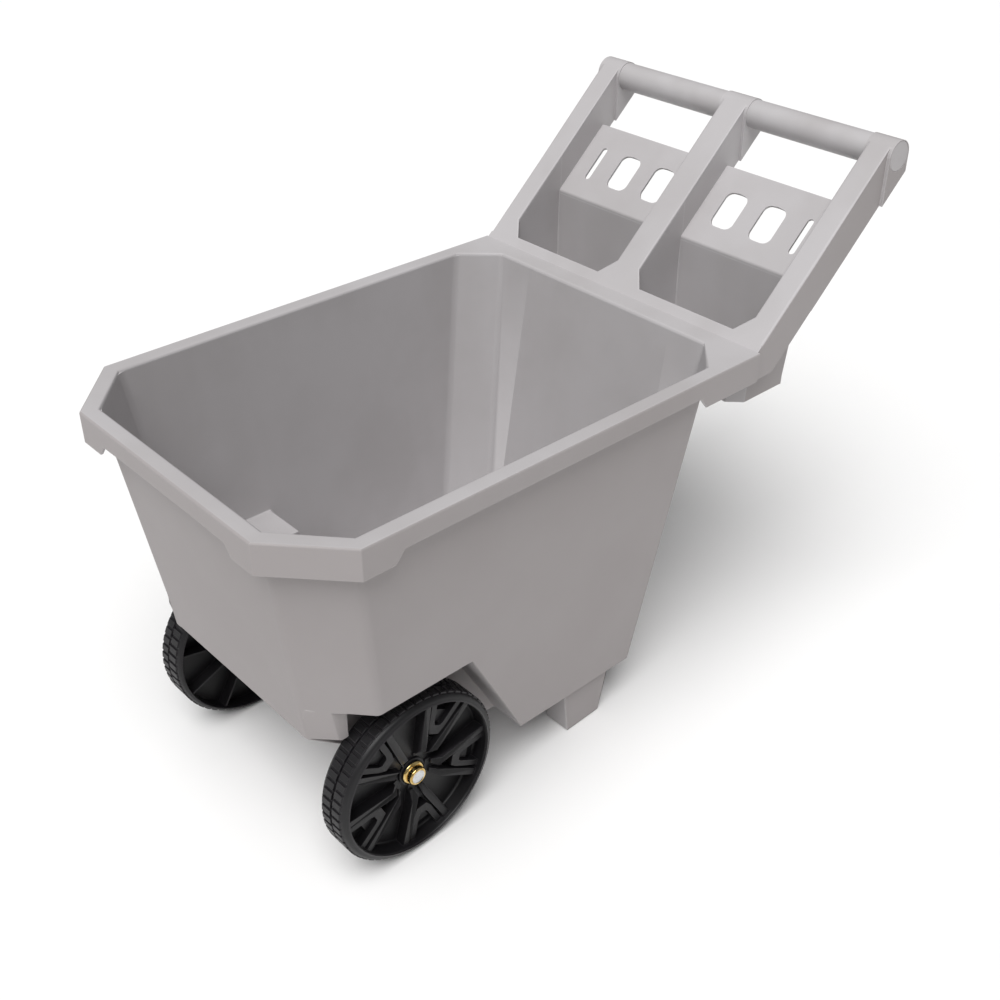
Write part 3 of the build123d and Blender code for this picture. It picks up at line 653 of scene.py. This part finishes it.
# ---- The caps on the axle's ends ----
# Pressed steel shells, plated in polished yellow zinc: a curved flange, a groove and a crown
# with a flat bright face. Each is pushed over the end of the axle and holds its wheel on.
GOLD = (0.80, 0.60, 0.26, 1)
GOLD_DEEP = (0.50, 0.33, 0.10, 1)
FACE_STEEL = (0.66, 0.67, 0.68, 1)
FACE_DULL = (0.5, 0.5, 0.5, 1)
FACE_R = 0.0088

yellow_zinc, places, shader = finish_of("yellow_zinc", metallic=1.0)
patches = noise(places, 160.0, 3.0)
feed(shader, patches.band(0.35, 0.7).blend(GOLD, GOLD_DEEP), "Base Color")
feed(shader, 0.10 + patches * 0.14, "Roughness")
bumped(shader, places, patches, 0.12, 0.0004)

cap_face, places, shader = finish_of("cap_face_steel", metallic=1.0)
patches = noise(places, 220.0, 3.0)
feed(shader, patches.band(0.4, 0.8).blend(FACE_STEEL, FACE_DULL), "Base Color")
feed(shader, 0.14 + patches * 0.12, "Roughness")
bumped(shader, places, patches, 0.08, 0.0003)

for side, name in ((-1, "left"), (1, "right")):
    low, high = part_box("axle_cap_" + name)
    base = min(abs(low[0]), abs(high[0]))
    top = max(abs(low[0]), abs(high[0]))
    outline = [(base, 0.0061), (base, 0.0156)]
    outline += arc(base + 0.0007, 0.0153, 0.0007, 180, 20, 4)
    outline += [(base + 0.0028, 0.0146), (base + 0.0034, 0.0134)]
    outline += [(base + 0.0032, 0.0126), (base + 0.0050, 0.0124)]
    outline += arc(top - 0.0030, 0.0096, 0.0028, 80, 0, 6)
    outline += [(top - 0.0004, 0.0090), (top - 0.0010, 0.0084), (top - 0.0010, 0.0002)]
    outline += [(top - 0.0040, 0.0002), (top - 0.0040, 0.0061)]
    cap = turned([(x * side, r) for x, r in outline], "axle_cap_" + name + "_pressed", 72)
    smoothed(cap, 40)
    cap.data.materials.clear()
    cap.data.materials.append(yellow_zinc)
    cap.data.materials.append(cap_face)
    for polygon in cap.data.polygons:
        middle = polygon.center
        spread = ((middle.y - AXLE_CENTRE.y) ** 2 + (middle.z - AXLE_CENTRE.z) ** 2) ** 0.5
        if spread < FACE_R and abs(middle.x) > top - 0.0016:
            polygon.material_index = 1
    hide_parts("axle_cap_" + name)
    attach(cap, "cart")

# ---- Studio ----
# A plain pale floor, a wide soft light from above the front right, a weak one from the front
# and a dim, even room, with the camera above the front right corner of the cart.
FLOOR_PALE = (0.86, 0.855, 0.85, 1)
FLOOR_PALER = (0.88, 0.875, 0.87, 1)
FLOOR_HALF = 14

corners = [(x * FLOOR_HALF, y * FLOOR_HALF, 0) for x, y in ((-1, -1), (1, -1), (1, 1), (-1, 1))]
floor_mesh = bpy.data.meshes.new("floor")
floor_mesh.from_pydata(corners, [], [(0, 1, 2, 3)])
floor = bpy.data.objects.new("floor", floor_mesh)
bpy.context.scene.collection.objects.link(floor)
floor_white, places, shader = finish_of("floor_white")
mottle = noise(places, 1.5, 3.0)
feed(shader, mottle.blend(FLOOR_PALE, FLOOR_PALER), "Base Color")
feed(shader, 0.75 + mottle * 0.1, "Roughness")
floor_mesh.materials.append(floor_white)

world = bpy.data.worlds.new("room")
world.use_nodes = True
world.node_tree.nodes["Background"].inputs["Color"].default_value = (0.98, 0.99, 1.0, 1)
world.node_tree.nodes["Background"].inputs["Strength"].default_value = 0.27
bpy.context.scene.world = world
bpy.context.scene.view_settings.view_transform = "Standard"


def soft_sun(name, direction, spread, strength):
    """An even, soft-edged light from a direction."""
    lamp = bpy.data.lights.new(name, "SUN")
    lamp.angle = radians(spread)
    lamp.energy = strength
    holder = bpy.data.objects.new(name, lamp)
    holder.rotation_euler = Vector(direction).to_track_quat("Z", "Y").to_euler()
    bpy.context.scene.collection.objects.link(holder)


soft_sun("overhead", (0.26, -0.36, 1.0), 46, 3.15)
soft_sun("front", (-0.2, -1.0, 0.5), 60, 0.18)

camera_data = bpy.data.cameras.new("camera")
camera_data.sensor_width = 36.0
camera_data.lens = 47.198
camera_data.shift_x = -0.0241
camera_data.shift_y = -0.0116
camera_data.clip_start = 0.05
camera_data.clip_end = 60
camera = bpy.data.objects.new("camera", camera_data)
camera.matrix_world = Matrix((
    (0.68391, -0.40585, 0.60627, 1.09554),
    (0.72912, 0.40909, -0.54866, -0.95475),
    (-0.02534, 0.81728, 0.57569, 1.30156),
    (0, 0, 0, 1),
))
bpy.context.scene.collection.objects.link(camera)
bpy.context.scene.camera = camera

bpy.context.view_layer.update()
